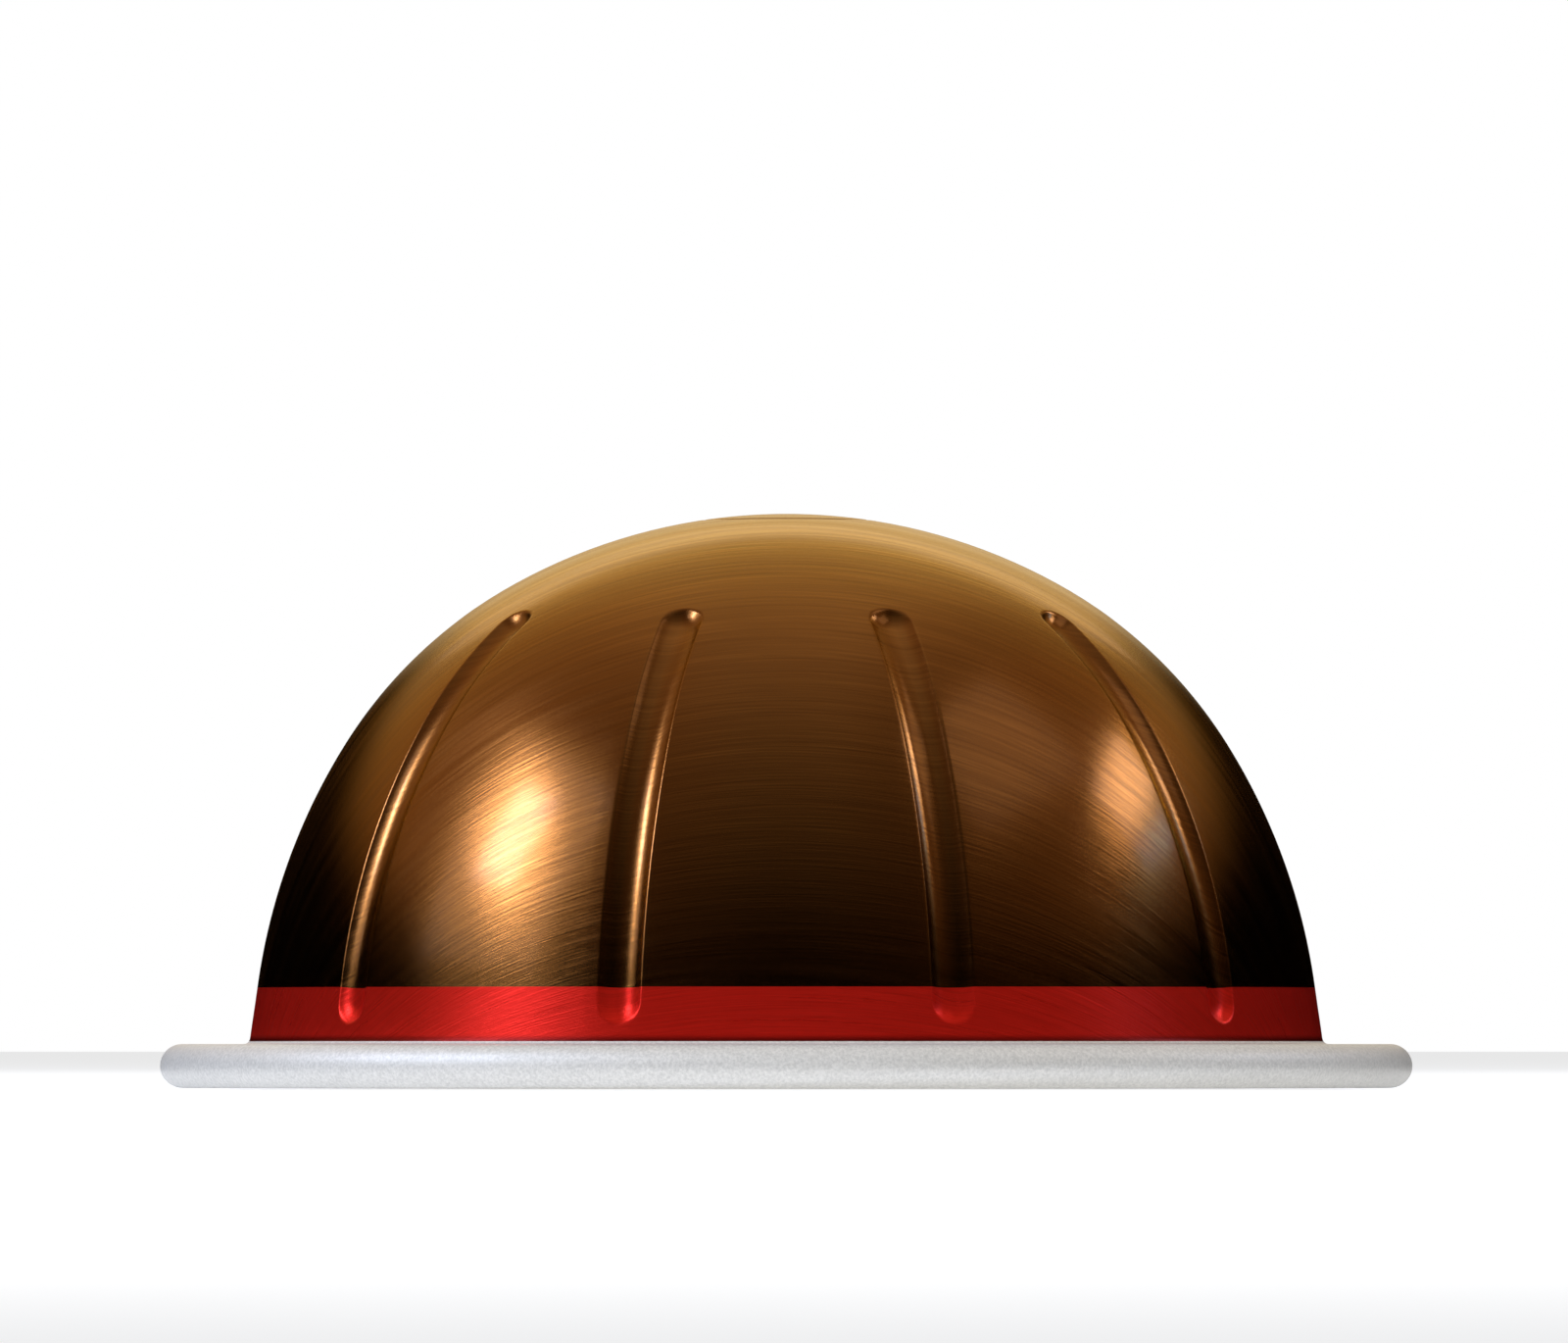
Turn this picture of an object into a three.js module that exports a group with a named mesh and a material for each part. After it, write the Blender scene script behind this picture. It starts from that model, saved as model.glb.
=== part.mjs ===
// A sealed, dome-shaped coffee pod, standing on its rolled rim with the dome up.
// Millimetres, +Z up. The origin is on the pod's axis, in the plane that the rim stands on.
// The cup is one aluminium pressing: a dome, a flat flange and a rolled rim. A foil closes its open side,
// inside the roll. Filled and sealed it can't be seen into, so the whole pack is one solid: its section is
// revolved, and the stiffening grooves are pressed into the dome's wall in a circular pattern.
import * as THREE from "three";
import { mergeVertices, toCreasedNormals } from "three/addons/utils/BufferGeometryUtils.js";

// Overall height, from the plane the rim stands on to the crown.
const POD_HEIGHT = 27.5;

// The dome's section is three tangent arcs from the crown down, then a straight wall with draft for
// the press. Each arc ends where its surface has this slope from the horizontal.
const CROWN_RADIUS = 26.9;
const CROWN_END_SLOPE = THREE.MathUtils.degToRad(30);
const SHOULDER_RADIUS = 22.1;
const SHOULDER_END_SLOPE = THREE.MathUtils.degToRad(58);
const FLANK_RADIUS = 29.4;
const WALL_SLOPE = THREE.MathUtils.degToRad(82);

// Fine ring pressed into the crown.
const CROWN_RING_RADIUS = 4;
const CROWN_RING_WIDTH = 0.3;
const CROWN_RING_DEPTH = 0.12;

// Flange, and the roll at its edge, which curls down away from the dome.
const FLANGE_WIDTH = 4.27;
const FLANGE_FILLET = 0.3;
const ROLL_HEIGHT = 2.1;
const ROLL_WIDTH = 2.65;

// Height of the sealing foil's outer face, up inside the roll.
const FOIL_HEIGHT = 1.75;

// Stiffening grooves, spaced evenly, with the front of the pod midway between two of them. Each starts
// this far up the wall from the flange and follows the wall.
const GROOVE_COUNT = 10;
const GROOVE_WIDTH = 2.1;
const GROOVE_DEPTH = 0.4;
const GROOVE_START = 1;
const GROOVE_LENGTH = 22.8;

// A groove's section, an arc as [share of the half width, share of the depth], and how much of the width
// is left where its rounded end runs out.
const GROOVE_SECTION = [[-1, 0], [-0.55, 0.7], [0, 1], [0.55, 0.7], [1, 0]];
const GROOVE_END_SHARE = 0.4;

// Facets along the crown, a groove, each of its ends, the fillet, a quarter of the roll, and the plain
// wall between two grooves.
const CROWN_STEPS = 7;
const GROOVE_STEPS = 12;
const GROOVE_END_STEPS = 3;
const FILLET_STEPS = 3;
const ROLL_QUARTER_STEPS = 4;
const PLAIN_WALL_STEPS = 6;

// Adds to a path of (radius, height) the arc that carries on from one slope of the surface to a steeper
// one, and returns where it ends.
function addSlopeArc(path, start, radius, fromSlope, toSlope) {
  const centreX = start.x - radius * Math.sin(fromSlope);
  const centreY = start.y - radius * Math.cos(fromSlope);
  path.absarc(centreX, centreY, radius, Math.PI / 2 - fromSlope, Math.PI / 2 - toSlope, true);
  return new THREE.Vector2(
    centreX + radius * Math.sin(toSlope),
    centreY + radius * Math.cos(toSlope),
  );
}

// The dome's meridian from the crown down to the flange's top face.
function domeMeridian() {
  const path = new THREE.Path();
  const crown = new THREE.Vector2(0, POD_HEIGHT);
  const crownEnd = addSlopeArc(path, crown, CROWN_RADIUS, 0, CROWN_END_SLOPE);
  const shoulderEnd = addSlopeArc(path, crownEnd, SHOULDER_RADIUS, CROWN_END_SLOPE, SHOULDER_END_SLOPE);
  const flankEnd = addSlopeArc(path, shoulderEnd, FLANK_RADIUS, SHOULDER_END_SLOPE, WALL_SLOPE);
  const wallRun = (flankEnd.y - ROLL_HEIGHT) / Math.tan(WALL_SLOPE);
  path.lineTo(flankEnd.x + wallRun, ROLL_HEIGHT);
  return path;
}

// One row of the pod's section: its point, how wide a groove is there in angle to either side, and how
// far the middle of a groove is pressed in.
function sectionRow(point, halfAngle, press = new THREE.Vector2()) {
  return { point, halfAngle, press };
}

// The row across the grooves at a distance up from their lower ends. They are round-ended in plan, and
// run out to the wall there.
function grooveRow(meridian, along) {
  const u = 1 - (GROOVE_START + along) / meridian.getLength();
  const point = meridian.getPoint(u);
  const tangent = meridian.getTangent(u);
  const halfWidth = GROOVE_WIDTH / 2;
  const fromEnd = Math.min(along / halfWidth, (GROOVE_LENGTH - along) / halfWidth, 1);
  const roundness = Math.sqrt(Math.max(0, 1 - (1 - fromEnd) ** 2));
  const widthShare = Math.max(roundness, GROOVE_END_SHARE);
  const depth = GROOVE_DEPTH * Math.sin((fromEnd * Math.PI) / 2);
  const press = new THREE.Vector2(tangent.y, -tangent.x).multiplyScalar(depth);
  return sectionRow(point, Math.asin((halfWidth * widthShare) / point.x), press);
}

// Distances along a groove, from its upper end to its lower one, close together near the ends.
function grooveStations() {
  const endLength = GROOVE_WIDTH / 2;
  const end = [];
  for (let i = 0; i < GROOVE_END_STEPS; i += 1) {
    end.push(endLength * (1 - Math.cos((i / GROOVE_END_STEPS) * (Math.PI / 2))));
  }
  const middle = [];
  for (let i = 0; i <= GROOVE_STEPS; i += 1) {
    middle.push(endLength + ((GROOVE_LENGTH - 2 * endLength) * i) / GROOVE_STEPS);
  }
  const upward = [...end, ...middle, ...end.map((along) => GROOVE_LENGTH - along).reverse()];
  return upward.reverse();
}

// The crown from its centre to the grooves: the ring's two lips with its floor between, then plain dome
// in facets that get shorter towards the grooves.
function crownRows(meridian, grooveTop) {
  const length = meridian.getLength();
  const start = CROWN_RING_RADIUS + CROWN_RING_WIDTH / 2;
  const end = length - GROOVE_START - GROOVE_LENGTH;
  const inner = meridian.getPoint((CROWN_RING_RADIUS - CROWN_RING_WIDTH / 2) / length);
  const floor = meridian.getPoint(CROWN_RING_RADIUS / length);
  const outer = meridian.getPoint(start / length);
  floor.y -= CROWN_RING_DEPTH;
  const points = [new THREE.Vector2(0, POD_HEIGHT), inner, floor, outer];
  for (let i = 1; i < CROWN_STEPS; i += 1) {
    const left = (1 - i / CROWN_STEPS) ** 1.4;
    points.push(meridian.getPoint((end - (end - start) * left) / length));
  }
  return points.map((point) => sectionRow(point, grooveTop.halfAngle));
}

// From the foot of the wall out over the flange, round the roll and in to the middle of the foil.
function rimRows(meridian, grooveFoot) {
  const foot = meridian.getPoint(1);
  const down = meridian.getTangent(1);
  const rollRadius = ROLL_HEIGHT / 2;
  const outerCentre = foot.x + FLANGE_WIDTH - rollRadius;
  const innerWall = foot.x + FLANGE_WIDTH - ROLL_WIDTH;

  const fillet = new THREE.QuadraticBezierCurve(
    foot.clone().addScaledVector(down, -FLANGE_FILLET),
    foot,
    new THREE.Vector2(foot.x + FLANGE_FILLET, foot.y),
  );
  const outerRoll = new THREE.EllipseCurve(
    outerCentre, rollRadius, rollRadius, rollRadius, Math.PI / 2, -Math.PI / 2, true,
  );
  const innerRoll = new THREE.EllipseCurve(
    innerWall + rollRadius, rollRadius, rollRadius, rollRadius, -Math.PI / 2, -Math.PI, true,
  );
  const roll = [
    ...outerRoll.getPoints(2 * ROLL_QUARTER_STEPS),
    ...innerRoll.getPoints(ROLL_QUARTER_STEPS),
    new THREE.Vector2(innerWall, FOIL_HEIGHT),
    new THREE.Vector2(0, FOIL_HEIGHT),
  ];
  return [
    ...fillet.getPoints(FILLET_STEPS).map((point) => sectionRow(point, grooveFoot.halfAngle)),
    ...roll.map((point) => sectionRow(point, evenHalfAngle())),
  ];
}

// The half angle that spaces the columns evenly, for the rows that no groove reaches.
function evenHalfAngle() {
  const acrossSteps = GROOVE_SECTION.length - 1;
  return (Math.PI / GROOVE_COUNT) * (acrossSteps / (acrossSteps + PLAIN_WALL_STEPS));
}

// All rows, from the crown's centre to the middle of the foil.
function podRows() {
  const meridian = domeMeridian();
  const grooves = grooveStations().map((along) => grooveRow(meridian, along));
  return [
    ...crownRows(meridian, grooves[0]),
    ...grooves,
    ...rimRows(meridian, grooves[grooves.length - 1]),
  ];
}

// The columns round the pod. A column's azimuth is the middle of its groove, plus `across` half angles
// of the groove, plus the share `plain` of the wall from there to the next groove.
function podColumns() {
  const columns = [];
  for (let groove = 0; groove < GROOVE_COUNT; groove += 1) {
    GROOVE_SECTION.forEach(([across, depth]) => columns.push({ groove, across, plain: 0, depth }));
    for (let i = 1; i < PLAIN_WALL_STEPS; i += 1) {
      columns.push({ groove, across: 1, plain: i / PLAIN_WALL_STEPS, depth: 0 });
    }
  }
  return columns;
}

// The point of a row in a column, with azimuth counted from the front towards +X.
function podPoint(row, column) {
  const pitch = (2 * Math.PI) / GROOVE_COUNT;
  const plainAngle = column.plain * (pitch - 2 * row.halfAngle);
  const azimuth = (column.groove + 0.5) * pitch + column.across * row.halfAngle + plainAngle;
  const radius = row.point.x + row.press.x * column.depth;
  const height = row.point.y + row.press.y * column.depth;
  return new THREE.Vector3(radius * Math.sin(azimuth), -radius * Math.cos(azimuth), height);
}

// Joins the seam and the two poles of a revolved surface, and drops the triangles that vanish there.
function closeSurface(geometry) {
  geometry.deleteAttribute("normal");
  geometry.deleteAttribute("uv");
  const closed = mergeVertices(geometry, 1e-4);
  const corners = closed.index.array;
  const kept = [];
  for (let i = 0; i < corners.length; i += 3) {
    const [a, b, c] = corners.slice(i, i + 3);
    if (a !== b && b !== c && c !== a) kept.push(a, b, c);
  }
  closed.setIndex(kept);
  return closed;
}

// The section revolved, then its columns moved to follow the grooves and pressed in along them.
function podGeometry() {
  const rows = podRows().reverse();
  const columns = podColumns();
  const revolved = new THREE.LatheGeometry(rows.map((row) => row.point), columns.length);
  [...columns, columns[0]].forEach((column, i) => {
    rows.forEach((row, j) => {
      const point = podPoint(row, column);
      revolved.attributes.position.setXYZ(i * rows.length + j, point.x, point.y, point.z);
    });
  });
  return toCreasedNormals(closeSurface(revolved), Math.PI / 8);
}

function coffeePod() {
  const bronzeLacquer = new THREE.MeshStandardMaterial({
    color: 0x8b5f3a,
    roughness: 0.35,
    metalness: 1,
  });
  const pod = new THREE.Mesh(podGeometry(), bronzeLacquer);
  pod.name = "coffee_pod";
  return pod;
}

const model = new THREE.Group();
model.add(coffeePod());

export default model;
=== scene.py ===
"""A sealed coffee pod on a pale floor.

Its cup is a grooved, brushed bronze dome with a red band at its foot, and a satin flange with a
rolled rim. A plain foil closes it below.
"""
import math

import bpy
import numpy as np
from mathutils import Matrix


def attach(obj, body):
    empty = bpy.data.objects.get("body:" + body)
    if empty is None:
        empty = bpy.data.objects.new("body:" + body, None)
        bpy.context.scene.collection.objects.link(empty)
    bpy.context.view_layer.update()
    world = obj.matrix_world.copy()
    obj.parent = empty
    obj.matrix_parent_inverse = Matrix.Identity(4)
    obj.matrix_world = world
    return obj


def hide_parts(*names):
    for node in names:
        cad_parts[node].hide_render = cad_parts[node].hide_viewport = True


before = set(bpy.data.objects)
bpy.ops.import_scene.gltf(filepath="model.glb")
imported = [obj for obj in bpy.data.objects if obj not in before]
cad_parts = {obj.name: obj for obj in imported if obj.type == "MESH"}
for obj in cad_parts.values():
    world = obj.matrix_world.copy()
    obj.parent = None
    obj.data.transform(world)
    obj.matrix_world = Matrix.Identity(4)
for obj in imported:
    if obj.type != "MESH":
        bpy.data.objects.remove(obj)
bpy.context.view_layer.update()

MM = 0.001

# The dome's meridian, in millimetres: three tangent arcs from the crown down, then a drafted wall.
POD_HEIGHT = 27.5
CROWN_RADIUS = 26.9
CROWN_END_SLOPE = math.radians(30)
SHOULDER_RADIUS = 22.1
SHOULDER_END_SLOPE = math.radians(58)
FLANK_RADIUS = 29.4
WALL_SLOPE = math.radians(82)

# The flange and the roll at its edge.
FLANGE_WIDTH = 4.27
FLANGE_FILLET = 0.3
ROLL_HEIGHT = 2.1
ROLL_WIDTH = 2.65

# The foil inside the roll: its edge is sealed flat and tucked into the roll, and its middle stands
# up by a step, with shallow waves. Its back, and the cup's seat behind it, are this far above
# FOIL_HEIGHT.
FOIL_HEIGHT = 1.75
FOIL_TUCK = 0.15
FOIL_SEAL_WIDTH = 1.9
FOIL_STEP = 0.03
FOIL_WAVE = 0.015
FOIL_BACK = 0.08
FOIL_SEAT = 0.1

# The pressed grooves: their section is an arch of this power, with its edges softened by the lip.
GROOVE_COUNT = 10
GROOVE_WIDTH = 2.1
GROOVE_DEPTH = 0.4
GROOVE_START = 1.0
GROOVE_LENGTH = 22.8
GROOVE_ARCH = 2.3
GROOVE_LIP = 0.02

# The fine ring on the crown.
CROWN_RING_RADIUS = 4.0
CROWN_RING_WIDTH = 0.3
CROWN_RING_DEPTH = 0.12

# The printed band ends at this height. Its print leaves this many rows of the fillet bare.
BAND_TOP = 4.8
BARE_FILLET_ROWS = 5

# The rolled sheet's grain, drawn over the dome: seen from a point this far below the rim.
GRAIN_EYE_DEPTH = 12.0

# Colours: the streaks' dark and light shades, what dulls them in places, and the painted shade in
# the band's corner with the flange.
BRONZE_DARK = (0.200, 0.075, 0.017)
BRONZE_LIGHT = (0.312, 0.126, 0.032)
BRONZE_DULL = (0.215, 0.080, 0.020)
RED_DARK = (0.62, 0.014, 0.007)
RED_LIGHT = (0.82, 0.020, 0.011)
# The painted shade at the red band's foot, in its corner with the flange.
RED_CORNER_SHADE = (0.16, 0.004, 0.003)
RIM_DARK = (0.61, 0.605, 0.585)
RIM_LIGHT = (0.79, 0.78, 0.755)
FOIL_DARK = (0.70, 0.70, 0.70)
FOIL_LIGHT = (0.80, 0.80, 0.80)

# Painted shade darkens the red band into its corner with the flange, between these heights in
# metres.
CORNER_SHADE_FOOT = 0.00225
CORNER_SHADE_TOP = 0.0026

# The studio, in metres, but for the elevations in degrees and the ground card in millimetres. The
# lamps face the pod's middle.
POD_MIDDLE = 0.012
CARD_RADIUS = 0.95
CARD_ELEVATIONS = (-6, 88)
CARD_COLUMNS = 96
CARD_TINT_BEHIND = (1.0, 0.82, 0.54)
CARD_TINT_ASIDE = (1.0, 0.62, 0.28)
GROUND_CARD_RADII = (34.0, 200.0, 960.0)
GROUND_CARD_HEIGHT = 0.1
WORLD_STRENGTH = 0.28
FLOOR_HALF_SIZE = 6.0
FLOOR_HEIGHT = -0.0001
FLOOR_ALBEDO = 0.9
FLOOR_LIFT = 0.55

# The softboxes: name, azimuth from the front towards +X and elevation in degrees, distance, size,
# power in watts, colour, and whether the pod mirrors it.
SOFTBOXES = [
    ("left_softbox", -73, 32, 0.8, (0.44, 0.48), 1.0, (0.9, 1.0, 1.1), True),
    ("left_core", -75, 35, 0.75, (0.14, 0.2), 1.4, (0.86, 1.0, 1.4), True),
    ("right_softbox", 106, 34, 0.75, (0.24, 0.1), 0.36, (0.95, 1.0, 1.15), True),
    ("right_wash", 76, 52, 0.8, (0.46, 0.3), 0.2, (1.0, 0.97, 0.9), True),
    ("right_cool", 104, 27, 0.8, (0.2, 0.06), 0.09, (0.35, 0.8, 1.8), True),
    ("back_softbox", 180, 30, 0.85, (0.7, 0.16), 0.3, (1.0, 0.95, 0.88), True),
    ("front_fill", 0, 28, 0.9, (0.9, 0.26), 5.2, (1.0, 0.99, 0.97), False),
]

# The camera: a long lens level with the flange. The frame is this wide at the pod.
CAMERA_DISTANCE = 1.2
CAMERA_HEIGHT = 0.0021
CAMERA_X = -0.000106
FRAME_WIDTH = 0.07515
FRAME_CENTRE_HEIGHT = 0.01995
SENSOR_WIDTH = 36.0


def meridian(distance):
    """Radius, height and slope of the dome at a distance down its meridian from the crown.

    An arc of radius R turns the slope by distance / R. The wall below the arcs is straight.
    """
    arcs = [
        (CROWN_RADIUS, 0.0, CROWN_END_SLOPE),
        (SHOULDER_RADIUS, CROWN_END_SLOPE, SHOULDER_END_SLOPE),
        (FLANK_RADIUS, SHOULDER_END_SLOPE, WALL_SLOPE),
    ]
    radius = np.zeros_like(distance)
    height = np.full_like(distance, POD_HEIGHT)
    slope = np.zeros_like(distance)
    left = distance.copy()
    for arc_radius, from_slope, to_slope in arcs:
        turned = np.clip(left / arc_radius, 0.0, to_slope - from_slope)
        here = from_slope + turned
        radius += arc_radius * (np.sin(here) - math.sin(from_slope))
        height -= arc_radius * (math.cos(from_slope) - np.cos(here))
        slope = np.where(left > 0, here, slope)
        left = left - arc_radius * (to_slope - from_slope)
    wall = np.maximum(left, 0.0)
    radius += wall * math.cos(WALL_SLOPE)
    height -= wall * math.sin(WALL_SLOPE)
    return radius, height, slope


def meridian_length():
    """Length of the dome's meridian: the three arcs, then the wall down to the flange."""
    arcs = (
        CROWN_RADIUS * CROWN_END_SLOPE
        + SHOULDER_RADIUS * (SHOULDER_END_SLOPE - CROWN_END_SLOPE)
        + FLANK_RADIUS * (WALL_SLOPE - SHOULDER_END_SLOPE)
    )
    _, height, _ = meridian(np.array([arcs]))
    return arcs + (height[0] - ROLL_HEIGHT) / math.sin(WALL_SLOPE)


DOME_LENGTH = meridian_length()
GROOVE_TOP = DOME_LENGTH - GROOVE_START - GROOVE_LENGTH
GROOVE_FOOT = DOME_LENGTH - GROOVE_START


def band_top_distance():
    """Distance down the meridian at which the printed band starts, by interpolation on height."""
    distance = np.linspace(DOME_LENGTH - 6.0, DOME_LENGTH, 2000)
    _, height, _ = meridian(distance)
    return float(np.interp(-BAND_TOP, -height, distance))


def dome_distances():
    """Distances of the dome's rows, close together at the crown ring and at the grooves' ends."""
    ring_in = CROWN_RING_RADIUS - CROWN_RING_WIDTH
    ring_out = CROWN_RING_RADIUS + CROWN_RING_WIDTH
    band = band_top_distance()
    spans = [
        (0.25, ring_in, 7),
        (ring_in, ring_out, 12),
        (ring_out, GROOVE_TOP - 0.5, 15),
        (GROOVE_TOP - 0.5, GROOVE_TOP + 1.6, 26),
        (GROOVE_TOP + 1.6, band, 42),
        (band, GROOVE_FOOT - 1.5, 1),
        (GROOVE_FOOT - 1.5, GROOVE_FOOT + 0.4, 22),
        (GROOVE_FOOT + 0.4, DOME_LENGTH - FLANGE_FILLET, 2),
    ]
    rows = [np.linspace(start, end, steps, endpoint=False) for start, end, steps in spans]
    return np.concatenate(rows)


def press_depth(distance, side):
    """How far the wall is pressed in, at a distance down the meridian and to a groove's side.

    With q the distance from the groove's middle line over half its width, so that both ends are
    round, the trough is the arch 1 - q^GROOVE_ARCH, and a smooth maximum with zero rounds its lip.
    """
    half_width = GROOVE_WIDTH / 2
    along = np.clip(distance, GROOVE_TOP + half_width, GROOVE_FOOT - half_width)
    q = np.hypot(side, distance - along) / half_width
    trough = GROOVE_DEPTH * (1 - q ** GROOVE_ARCH)
    rounded = 0.5 * (trough + np.sqrt(trough ** 2 + GROOVE_LIP ** 2))
    fade = np.clip((1.75 - q) / 0.5, 0.0, 1.0)
    return rounded * fade


def ring_depth(distance):
    """Depth of the crown's ring: a cosine notch of the ring's width."""
    across = np.clip((distance - CROWN_RING_RADIUS) / (CROWN_RING_WIDTH / 2), -1.0, 1.0)
    return CROWN_RING_DEPTH * 0.5 * (1 + np.cos(math.pi * across))


def arc_points(centre_x, centre_z, radius, start, end, count):
    """Points on an arc of a circle in (radius, height), from one angle to another."""
    angle = np.linspace(start, end, count)
    return np.stack([centre_x + radius * np.cos(angle), centre_z + radius * np.sin(angle)], axis=1)


def rim_section():
    """Section of the fillet, flange and roll, from the wall's foot round to the foil.

    The fillet is a quadratic curve with its corner at the wall's foot. The roll is two arcs of half
    its height, with a flat foot between them and a straight inner side up to the foil.
    """
    foot_x, foot_z, _ = (value[0] for value in meridian(np.array([DOME_LENGTH])))
    start = np.array([
        foot_x - FLANGE_FILLET * math.cos(WALL_SLOPE),
        foot_z + FLANGE_FILLET * math.sin(WALL_SLOPE),
    ])
    corner = np.array([foot_x, foot_z])
    end = np.array([foot_x + FLANGE_FILLET, foot_z])
    t = np.linspace(0, 1, 7)[:, None]
    fillet = (1 - t) ** 2 * start + 2 * t * (1 - t) * corner + t ** 2 * end

    roll = ROLL_HEIGHT / 2
    outer_x = foot_x + FLANGE_WIDTH - roll
    inner_wall = foot_x + FLANGE_WIDTH - ROLL_WIDTH
    flange_x = np.linspace(end[0], outer_x, 8)[1:-1]
    flange = np.stack([flange_x, np.full_like(flange_x, ROLL_HEIGHT)], axis=1)
    outer = arc_points(outer_x, roll, roll, math.pi / 2, -math.pi / 2, 25)
    inner = arc_points(inner_wall + roll, roll, roll, -math.pi / 2, -math.pi, 13)
    wall_z = np.array([1.3, 1.6, FOIL_HEIGHT])
    wall = np.stack([np.full_like(wall_z, inner_wall), wall_z], axis=1)
    return fillet, np.concatenate([flange, outer, inner, wall])


def column_layout():
    """Columns round the pod: across each groove, then over the plain wall to the next.

    Each column is its pitch number, its distance to the groove's side in millimetres, and its share
    of the plain wall between two grooves.
    """
    half = np.array([
        0.07, 0.14, 0.22, 0.34, 0.48, 0.62, 0.76, 0.86, 0.92, 0.96,
        1.0, 1.04, 1.09, 1.16, 1.28, 1.5, 1.8,
    ])
    across = 0.5 * GROOVE_WIDTH * np.concatenate([-half[::-1], [0.0], half])
    reach = across[-1]
    plain = np.arange(1, 10) / 10
    side = np.concatenate([across, np.full(plain.size, reach)])
    share = np.concatenate([np.zeros(across.size), plain])
    number = np.repeat(np.arange(GROOVE_COUNT), side.size)
    return number, np.tile(side, GROOVE_COUNT), np.tile(share, GROOVE_COUNT)


def azimuths(radius):
    """Azimuth of each row and column, from the front (-Y) towards +X.

    A groove keeps its width, so a column's angle off the groove's middle is its distance over the
    radius. Above the grooves it keeps the angle that it has at their top.
    """
    number, side, share = column_layout()
    top_radius, _, _ = meridian(np.array([GROOVE_TOP - 0.5]))
    row_radius = np.maximum(radius, top_radius[0])[:, None]
    pitch = 2 * math.pi / GROOVE_COUNT
    plain_angle = pitch - 2 * side.max() / row_radius
    return (number + 0.5) * pitch + side / row_radius + share * plain_angle


def cup_grid():
    """The cup's points, as rows by columns: the dome pressed in along its normal, then the rim."""
    distance = dome_distances()
    radius, height, slope = meridian(distance)
    _, side, share = column_layout()
    side = np.where(share > 0, 10 * GROOVE_WIDTH, side)
    pressed = press_depth(distance[:, None], side[None, :]) + ring_depth(distance)[:, None]
    dome_r = radius[:, None] - pressed * np.sin(slope)[:, None]
    dome_z = height[:, None] - pressed * np.cos(slope)[:, None]

    fillet, flange = rim_section()
    rim = np.concatenate([fillet, flange])
    columns = side.size
    grid_r = np.concatenate([dome_r, np.repeat(rim[:, :1], columns, axis=1)])
    grid_z = np.concatenate([dome_z, np.repeat(rim[:, 1:], columns, axis=1)])
    turn = azimuths(np.concatenate([radius, rim[:, 0]]))
    points = np.stack([grid_r * np.sin(turn), -grid_r * np.cos(turn), grid_z], axis=2)
    return points, distance.size, fillet.shape[0]


def closed_revolve(points, first_pole, last_pole):
    """Vertices and faces of a grid that goes right round the axis, with a fan to each pole."""
    rows, columns, _ = points.shape
    vertices = np.concatenate([points.reshape(-1, 3), [first_pole], [last_pole]]) * MM
    here = np.arange(columns)
    after = (here + 1) % columns
    row = (np.arange(rows - 1) * columns)[:, None]
    quads = np.stack([row + here, row + columns + here, row + columns + after, row + after], axis=2)
    first = rows * columns
    start_fan = np.stack([np.full(columns, first), here, after], axis=1)
    last_row = (rows - 1) * columns
    end_fan = np.stack([last_row + here, np.full(columns, first + 1), last_row + after], axis=1)
    return vertices, quads.reshape(-1, 4), start_fan, end_fan


def round_angles(count):
    """Angles that divide the full circle evenly."""
    return np.linspace(0, 2 * math.pi, count, endpoint=False)


def make_mesh(name, vertices, faces):
    """A mesh object with smooth faces, riding on the pod's one body."""
    mesh = bpy.data.meshes.new(name)
    mesh.from_pydata(vertices.tolist(), [], faces)
    mesh.polygons.foreach_set("use_smooth", np.ones(len(mesh.polygons), dtype=bool))
    mesh.update()
    piece = bpy.data.objects.new(name, mesh)
    bpy.context.scene.collection.objects.link(piece)
    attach(piece, "root")
    return piece


def add_grain_map(piece):
    """The map that the brushing follows: u = x / (z + d) and v = y / (z + d), d below the rim.

    The rolled sheet's straight grain runs along u, and the dome draws it up into arches.
    """
    mesh = piece.data
    coords = np.empty(len(mesh.vertices) * 3)
    mesh.vertices.foreach_get("co", coords)
    x, y, z = coords.reshape(-1, 3).T / MM
    uv = np.stack([x, y], axis=1) / (z + GRAIN_EYE_DEPTH)[:, None]
    corner = np.empty(len(mesh.loops), dtype=np.int32)
    mesh.loops.foreach_get("vertex_index", corner)
    layer = mesh.uv_layers.new(name="grain")
    layer.data.foreach_set("uv", (0.5 + 0.5 * uv[corner]).astype(np.float32).ravel())


def build_cup(materials):
    """The pressed cup: one closed surface from the crown over the rim to the foil's seat.

    The materials are the dome's bronze, the band's red and the rim's bare metal, in this order.
    """
    points, dome_rows, fillet_rows = cup_grid()
    seat = FOIL_HEIGHT + FOIL_SEAT
    points[-1, :, 2] = seat
    vertices, quads, start_fan, end_fan = closed_revolve(
        points, (0, 0, POD_HEIGHT), (0, 0, seat))
    faces = start_fan.tolist() + quads.tolist() + end_fan.tolist()
    cup = make_mesh("pod_cup", vertices, faces)

    for material in materials:
        cup.data.materials.append(material)
    columns = points.shape[1]
    band_row = int(np.searchsorted(dome_distances(), band_top_distance() - 1e-6))
    bronze, red, bare = range(3)
    row_finish = np.full(points.shape[0] - 1, bare)
    row_finish[:dome_rows + fillet_rows - BARE_FILLET_ROWS] = red
    row_finish[:band_row] = bronze
    finish = np.concatenate([
        np.full(columns, bronze),
        np.repeat(row_finish, columns),
        np.full(columns, bare),
    ])
    cup.data.polygons.foreach_set("material_index", finish.astype(np.int32))
    add_grain_map(cup)
    return cup


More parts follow.
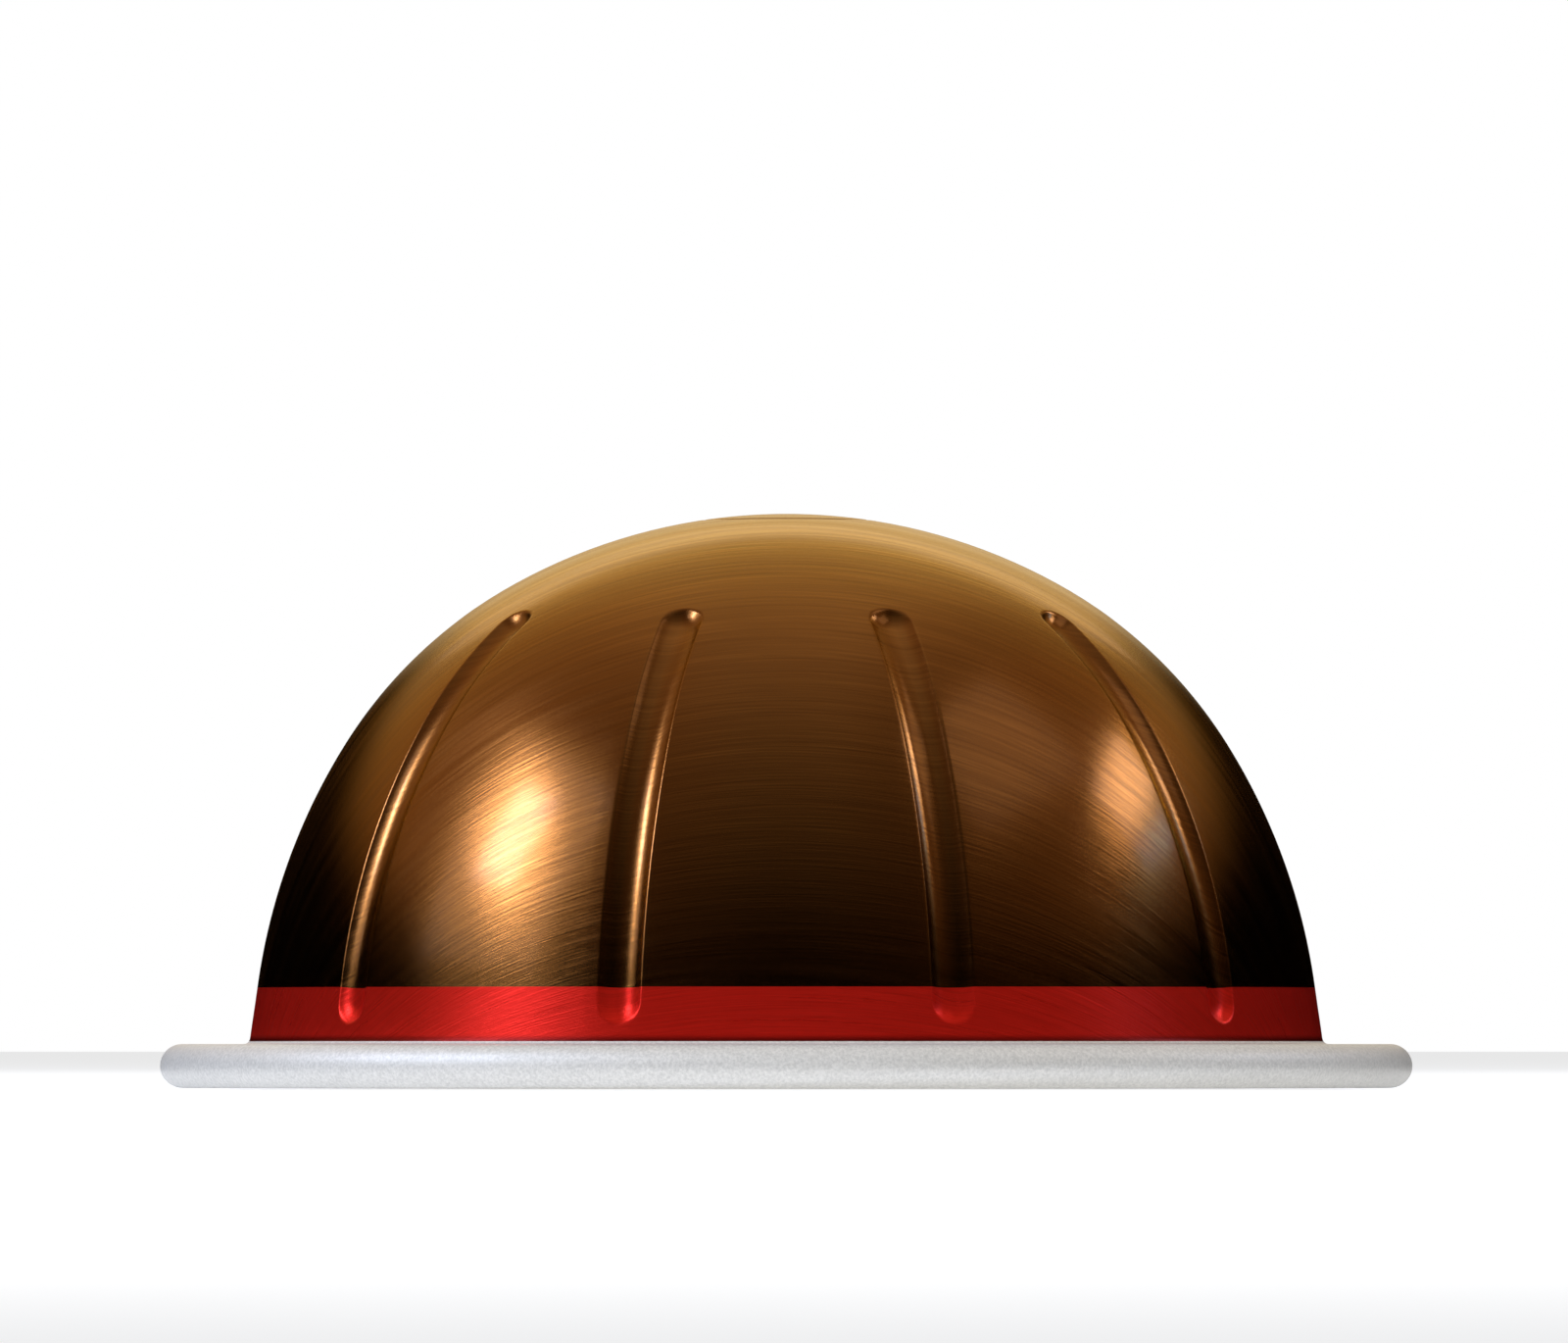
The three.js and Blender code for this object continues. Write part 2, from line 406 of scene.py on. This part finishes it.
def build_foil(material):
    """The sealing foil: a disc with a flat seal round its edge and a slightly uneven middle.

    Inside the seal it stands up by FOIL_STEP, with broad, shallow waves, three products of sines,
    that fade to nothing at the seal.
    """
    _, flange = rim_section()
    edge = flange[-1, 0] + FOIL_TUCK
    seal = edge - FOIL_SEAL_WIDTH
    radius = np.concatenate([
        np.linspace(0.8, seal - 0.5, 46),
        np.linspace(seal - 0.4, seal + 0.4, 8),
        np.linspace(seal + 0.6, edge, 6),
    ])
    turn = round_angles(180)
    r, a = np.meshgrid(radius, turn, indexing="ij")
    x, y = r * np.cos(a), r * np.sin(a)
    waves = (
        np.sin(0.31 * x + 0.9) * np.sin(0.27 * y - 0.4)
        + 0.6 * np.sin(0.55 * x - 0.38 * y)
        + 0.4 * np.sin(0.9 * y + 0.33 * x + 1.1)
    )
    inside = np.clip((seal - r) / 3.0, 0, 1)
    step = 0.5 * (1 + np.tanh((seal - r) / 0.2))
    below = FOIL_HEIGHT + FOIL_STEP * step + FOIL_WAVE * waves * inside
    under = np.stack([x, y, below], axis=2)
    back = np.stack([x[-1:], y[-1:], np.full_like(x[-1:], FOIL_HEIGHT + FOIL_BACK)], axis=2)
    vertices, quads, start_fan, end_fan = closed_revolve(
        np.concatenate([under, back]),
        (0, 0, FOIL_HEIGHT + FOIL_STEP),
        (0, 0, FOIL_HEIGHT + FOIL_BACK))
    faces = start_fan.tolist() + quads.tolist() + end_fan.tolist()
    foil = make_mesh("sealing_foil", vertices, [face[::-1] for face in faces])
    foil.data.materials.append(material)
    add_grain_map(foil)
    return foil


class Nodes:
    """A material's node tree, with short ways to add a node and to join two."""

    def __init__(self, name):
        self.material = bpy.data.materials.new(name)
        self.material.use_nodes = True
        self.tree = self.material.node_tree
        self.shader = self.tree.nodes["Principled BSDF"]

    def add(self, kind, **settings):
        node = self.tree.nodes.new(kind)
        for key, value in settings.items():
            setattr(node, key, value)
        return node

    def join(self, output, socket):
        self.tree.links.new(output, socket)

    def set(self, **values):
        for key, value in values.items():
            self.shader.inputs[key.replace("_", " ")].default_value = value

    def grain_map(self, along, across):
        """Grain coordinates, stretched so that noise turns into streaks along the grain."""
        uv = self.add("ShaderNodeUVMap", uv_map="grain")
        mapping = self.add("ShaderNodeMapping")
        mapping.inputs["Scale"].default_value = (along, across, 1)
        self.join(uv.outputs["UV"], mapping.inputs["Vector"])
        return mapping.outputs["Vector"]

    def noise(self, vector, scale, detail=4.0, roughness=0.6):
        node = self.add("ShaderNodeTexNoise")
        node.inputs["Scale"].default_value = scale
        node.inputs["Detail"].default_value = detail
        node.inputs["Roughness"].default_value = roughness
        self.join(vector, node.inputs["Vector"])
        return node.outputs["Fac"]

    def object_noise(self, scale, detail=4.0, roughness=0.6):
        coords = self.add("ShaderNodeTexCoord")
        return self.noise(coords.outputs["Object"], scale, detail, roughness)

    def maths(self, operation, *values):
        node = self.add("ShaderNodeMath", operation=operation)
        for value, socket in zip(values, node.inputs):
            self.join(value, socket)
        return node.outputs[0]

    def ranged(self, value, low, high, from_low=0.0, from_high=1.0, smooth=False):
        curve = "SMOOTHSTEP" if smooth else "LINEAR"
        node = self.add("ShaderNodeMapRange", interpolation_type=curve)
        node.inputs["From Min"].default_value = from_low
        node.inputs["From Max"].default_value = from_high
        node.inputs["To Min"].default_value = low
        node.inputs["To Max"].default_value = high
        self.join(value, node.inputs["Value"])
        return node.outputs["Result"]

    def mix(self, factor, first, second):
        node = self.add("ShaderNodeMix", data_type="RGBA")
        self.join(factor, node.inputs[0])
        for socket, colour in ((node.inputs[6], first), (node.inputs[7], second)):
            if hasattr(colour, "is_linked"):
                self.join(colour, socket)
            else:
                socket.default_value = (*colour, 1)
        return node.outputs[2]

    def bump(self, height, distance, strength, under=None):
        node = self.add("ShaderNodeBump")
        node.inputs["Distance"].default_value = distance
        node.inputs["Strength"].default_value = strength
        self.join(height, node.inputs["Height"])
        if under:
            self.join(under, node.inputs["Normal"])
        return node.outputs["Normal"]

    def tangent(self):
        node = self.add("ShaderNodeTangent", direction_type="UV_MAP", uv_map="grain")
        self.join(node.outputs["Tangent"], self.shader.inputs["Tangent"])


def brushed_bronze():
    """Bronze lacquer over brushed sheet: streaks along the grain in colour, roughness and bump."""
    nodes = Nodes("brushed_bronze")
    streaks = nodes.noise(nodes.grain_map(6, 270), 1.0, detail=3.0, roughness=0.7)
    broad = nodes.noise(nodes.grain_map(2.5, 55), 1.0, detail=4.0, roughness=0.7)
    colour = nodes.mix(nodes.ranged(streaks, 0, 1, 0.3, 0.7), BRONZE_DARK, BRONZE_LIGHT)
    shaded = nodes.mix(nodes.ranged(broad, 0, 0.6, 0.4, 0.7), colour, BRONZE_DULL)
    nodes.join(shaded, nodes.shader.inputs["Base Color"])
    nodes.join(nodes.ranged(broad, 0.17, 0.27, 0.35, 0.65), nodes.shader.inputs["Roughness"])
    nodes.join(nodes.bump(streaks, 0.000025, 0.45), nodes.shader.inputs["Normal"])
    nodes.tangent()
    nodes.set(Metallic=1.0, Anisotropic=0.6, Anisotropic_Rotation=0.25, Coat_Weight=0.2,
              Coat_Roughness=0.14, Specular_Tint=(1.0, 0.88, 0.5, 1))
    return nodes.material


def red_band():
    """Red print over the same sheet, with the grain showing faintly through."""
    nodes = Nodes("red_band")
    streaks = nodes.noise(nodes.grain_map(5, 260), 1.0, detail=3.0, roughness=0.7)
    broad = nodes.noise(nodes.grain_map(3, 70), 1.0, detail=4.0, roughness=0.7)
    colour = nodes.mix(nodes.ranged(streaks, 0, 1, 0.3, 0.7), RED_DARK, RED_LIGHT)
    height = nodes.add("ShaderNodeSeparateXYZ")
    nodes.join(nodes.add("ShaderNodeTexCoord").outputs["Object"], height.inputs[0])
    # Painted shade: the band darkens towards its foot, into the corner with the flange.
    corner = nodes.ranged(height.outputs["Z"], 1, 0, CORNER_SHADE_FOOT, CORNER_SHADE_TOP, smooth=True)
    shaded = nodes.mix(corner, colour, RED_CORNER_SHADE)
    nodes.join(shaded, nodes.shader.inputs["Base Color"])
    nodes.join(nodes.ranged(broad, 0.26, 0.36, 0.3, 0.7), nodes.shader.inputs["Roughness"])
    nodes.join(nodes.bump(streaks, 0.000025, 0.6), nodes.shader.inputs["Normal"])
    nodes.tangent()
    nodes.set(Metallic=0.72, Anisotropic=0.8, Anisotropic_Rotation=0.25,
              Specular_IOR_Level=0.25)
    return nodes.material


def satin_rim():
    """Bare aluminium with a fine etched grain."""
    nodes = Nodes("satin_rim")
    grain = nodes.object_noise(6500, detail=3.0, roughness=0.7)
    cloud = nodes.object_noise(260, detail=2.0)
    colour = nodes.mix(nodes.ranged(grain, 0, 1, 0.35, 0.65), RIM_DARK, RIM_LIGHT)
    nodes.join(colour, nodes.shader.inputs["Base Color"])
    nodes.join(nodes.ranged(cloud, 0.50, 0.58, 0.3, 0.7), nodes.shader.inputs["Roughness"])
    nodes.join(nodes.bump(grain, 0.00002, 0.5), nodes.shader.inputs["Normal"])
    nodes.set(Metallic=0.35)
    return nodes.material


def plain_foil():
    """Thin aluminium foil, with faint rolling lines and a soft sheen."""
    nodes = Nodes("plain_foil")
    lines = nodes.noise(nodes.grain_map(4, 300), 1.0, detail=4.0)
    dimples = nodes.object_noise(900, detail=3.0)
    colour = nodes.mix(nodes.ranged(lines, 0, 1, 0.35, 0.65), FOIL_DARK, FOIL_LIGHT)
    nodes.join(colour, nodes.shader.inputs["Base Color"])
    nodes.join(nodes.ranged(lines, 0.30, 0.40, 0.35, 0.65), nodes.shader.inputs["Roughness"])
    rolled = nodes.bump(lines, 0.00001, 0.4)
    nodes.join(nodes.bump(dimples, 0.00003, 0.3, rolled), nodes.shader.inputs["Normal"])
    nodes.set(Metallic=1.0)
    return nodes.material


def matt_black(nodes):
    """Sets a material's shader to a black that mirrors nothing."""
    nodes.set(Base_Color=(0, 0, 0, 1), Roughness=1.0, Specular_IOR_Level=0.0)


def seen_or_mirrored(tree):
    """One for camera, glossy and transmission rays, and zero for the rays that light a surface."""
    path = tree.nodes.new("ShaderNodeLightPath")
    total = path.outputs["Is Camera Ray"]
    for ray in ("Is Glossy Ray", "Is Transmission Ray"):
        add = tree.nodes.new("ShaderNodeMath")
        add.operation = "ADD"
        add.use_clamp = True
        tree.links.new(total, add.inputs[0])
        tree.links.new(path.outputs[ray], add.inputs[1])
        total = add.outputs[0]
    return total


def light_world():
    """A dim even world, plain white where it is seen or mirrored."""
    world = bpy.data.worlds.new("studio")
    bpy.context.scene.world = world
    world.use_nodes = True
    world.cycles.sampling_method = "NONE"
    tree = world.node_tree
    dim = tree.nodes["Background"]
    white = tree.nodes.new("ShaderNodeBackground")
    for background, strength in ((dim, WORLD_STRENGTH), (white, 1.0)):
        background.inputs["Color"].default_value = (1, 1, 1, 1)
        background.inputs["Strength"].default_value = strength
    mix = tree.nodes.new("ShaderNodeMixShader")
    tree.links.new(seen_or_mirrored(tree), mix.inputs[0])
    tree.links.new(dim.outputs[0], mix.inputs[1])
    tree.links.new(white.outputs[0], mix.inputs[2])
    tree.links.new(mix.outputs[0], tree.nodes["World Output"].inputs["Surface"])


def pale_floor():
    """Matt white that keeps a shadow, lifted to the backdrop's white where seen or mirrored."""
    nodes = Nodes("pale_floor")
    nodes.set(Base_Color=(FLOOR_ALBEDO, FLOOR_ALBEDO, FLOOR_ALBEDO, 1), Roughness=0.9,
              Specular_IOR_Level=0.0, Emission_Color=(1, 1, 1, 1))
    lift = nodes.add("ShaderNodeMath", operation="MULTIPLY")
    lift.inputs[1].default_value = FLOOR_LIFT
    nodes.join(seen_or_mirrored(nodes.tree), lift.inputs[0])
    nodes.join(lift.outputs[0], nodes.shader.inputs["Emission Strength"])
    return nodes.material


def build_floor():
    """A wide pale floor under the pod."""
    size = FLOOR_HALF_SIZE
    mesh = bpy.data.meshes.new("floor")
    corners = [(-size, -size, 0), (size, -size, 0), (size, size, 0), (-size, size, 0)]
    mesh.from_pydata(corners, [], [(0, 1, 2, 3)])
    floor = bpy.data.objects.new("floor", mesh)
    floor.location.z = FLOOR_HEIGHT
    mesh.materials.append(pale_floor())
    bpy.context.scene.collection.objects.link(floor)


def graduated_card():
    """Black that thins out to a warm clear tint, so that mirrors show the white behind it.

    The share let through is a product of ramps over x, y and z: it grows in a line from the front
    to the back, starts at a height that is lower straight behind the pod, and is less to either
    side. The tint is deeper to the sides.
    """
    nodes = Nodes("graduated_card")
    coords = nodes.add("ShaderNodeTexCoord")
    axes = nodes.add("ShaderNodeSeparateXYZ")
    nodes.join(coords.outputs["Object"], axes.inputs[0])
    x, y, z = (axes.outputs[axis] for axis in "XYZ")
    r = CARD_RADIUS
    back = nodes.ranged(y, 0.0, 1.05, -0.93 * r, r)
    aside = nodes.maths("ABSOLUTE", x)
    lift = nodes.ranged(aside, 0.25 * r, 0.0, 0.05 * r, 0.35 * r, smooth=True)
    above = nodes.ranged(nodes.maths("ADD", z, lift), 0.0, 1.0, 0.27 * r, 0.45 * r, smooth=True)
    left = nodes.ranged(x, 0.65, 1.0, -0.6 * r, -0.15 * r, smooth=True)
    right = nodes.ranged(x, 1.0, 0.55, 0.1 * r, 0.5 * r, smooth=True)
    sides = nodes.maths("MULTIPLY", left, right)
    share = nodes.maths("MULTIPLY", nodes.maths("MULTIPLY", back, above), sides)
    clear = nodes.add("ShaderNodeBsdfTransparent")
    deep = nodes.ranged(aside, 0.0, 1.0, 0.15 * r, 0.6 * r)
    tint = nodes.mix(deep, CARD_TINT_BEHIND, CARD_TINT_ASIDE)
    nodes.join(tint, clear.inputs["Color"])
    mix = nodes.add("ShaderNodeMixShader")
    nodes.join(share, mix.inputs[0])
    nodes.join(nodes.shader.outputs[0], mix.inputs[1])
    nodes.join(clear.outputs[0], mix.inputs[2])
    nodes.join(mix.outputs[0], nodes.tree.nodes["Material Output"].inputs["Surface"])
    matt_black(nodes)
    return nodes.material


def build_ground_card():
    """A black card on the floor round the pod, which only mirrors show: a ring round the rim."""
    turn = round_angles(CARD_COLUMNS)
    radius = np.array(GROUND_CARD_RADII)[:, None]
    height = np.full((radius.size, turn.size), GROUND_CARD_HEIGHT)
    points = np.stack([radius * np.sin(turn), -radius * np.cos(turn), height], axis=2)
    vertices, quads, _, _ = closed_revolve(points, (0, 0, 0), (0, 0, 0))
    mesh = bpy.data.meshes.new("ground_card")
    mesh.from_pydata(vertices[:-2].tolist(), [], quads.tolist())
    nodes = Nodes("black_card")
    matt_black(nodes)
    mesh.materials.append(nodes.material)
    card = bpy.data.objects.new("ground_card", mesh)
    hide_but_mirrored(card)
    bpy.context.scene.collection.objects.link(card)


def hide_but_mirrored(card):
    """Only mirrors show the card: it casts no shadow and doesn't dim the floor."""
    card.visible_camera = False
    card.visible_shadow = False
    card.visible_diffuse = False


def build_graduated_dome():
    """A dome of graduated card over the pod, which only mirrors show: the dark side of the studio.

    It is part of a sphere about the origin, from just under the horizon to a pole overhead.
    """
    azimuth = round_angles(CARD_COLUMNS)
    elevation = np.radians(np.linspace(*CARD_ELEVATIONS, 40))[:, None]
    points = CARD_RADIUS / MM * np.stack([
        np.cos(elevation) * np.sin(azimuth),
        -np.cos(elevation) * np.cos(azimuth),
        np.broadcast_to(np.sin(elevation), (elevation.size, azimuth.size)),
    ], axis=2)
    top = (0, 0, CARD_RADIUS / MM)
    vertices, quads, _, fan = closed_revolve(points, (0, 0, 0), top)
    mesh = bpy.data.meshes.new("graduated_dome")
    mesh.from_pydata(vertices.tolist(), [], quads.tolist() + fan.tolist())
    mesh.materials.append(graduated_card())
    dome = bpy.data.objects.new("graduated_dome", mesh)
    hide_but_mirrored(dome)
    bpy.context.scene.collection.objects.link(dome)


def aim_at_pod(lamp, azimuth, elevation, distance):
    """Places a lamp at an azimuth from the front towards +X, facing the pod's middle."""
    a, e = math.radians(azimuth), math.radians(elevation)
    lamp.location = (
        distance * math.cos(e) * math.sin(a),
        -distance * math.cos(e) * math.cos(a),
        POD_MIDDLE + distance * math.sin(e),
    )
    lamp.rotation_euler = (math.pi / 2 - e, 0, a)


def add_softbox(name, azimuth, elevation, distance, size, power, colour, mirrored):
    """A rectangular lamp that faces the pod. One that isn't mirrored only lights matt surfaces."""
    lamp = bpy.data.lights.new(name, "AREA")
    lamp.shape = "RECTANGLE"
    lamp.size, lamp.size_y = size
    lamp.energy = power
    lamp.color = colour
    softbox = bpy.data.objects.new(name, lamp)
    softbox.visible_glossy = mirrored
    aim_at_pod(softbox, azimuth, elevation, distance)
    bpy.context.scene.collection.objects.link(softbox)


def add_camera():
    """The long lens, tilted up to put the pod low in the frame."""
    lens = bpy.data.cameras.new("camera")
    lens.sensor_width = SENSOR_WIDTH
    lens.lens = SENSOR_WIDTH * CAMERA_DISTANCE / FRAME_WIDTH
    lens.clip_start = 0.01
    lens.clip_end = 20.0
    camera = bpy.data.objects.new("camera", lens)
    camera.location = (CAMERA_X, -CAMERA_DISTANCE, CAMERA_HEIGHT)
    tilt = math.atan2(FRAME_CENTRE_HEIGHT - CAMERA_HEIGHT, CAMERA_DISTANCE)
    camera.rotation_euler = (math.pi / 2 + tilt, 0, 0)
    bpy.context.scene.collection.objects.link(camera)
    bpy.context.scene.camera = camera


add_camera()
light_world()
build_floor()
cup = build_cup([brushed_bronze(), red_band(), satin_rim()])
foil = build_foil(plain_foil())
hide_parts("coffee_pod")
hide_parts("coffee_pod")

build_ground_card()
build_graduated_dome()
for softbox in SOFTBOXES:
    add_softbox(*softbox)

bpy.context.scene.view_settings.view_transform = "Standard"
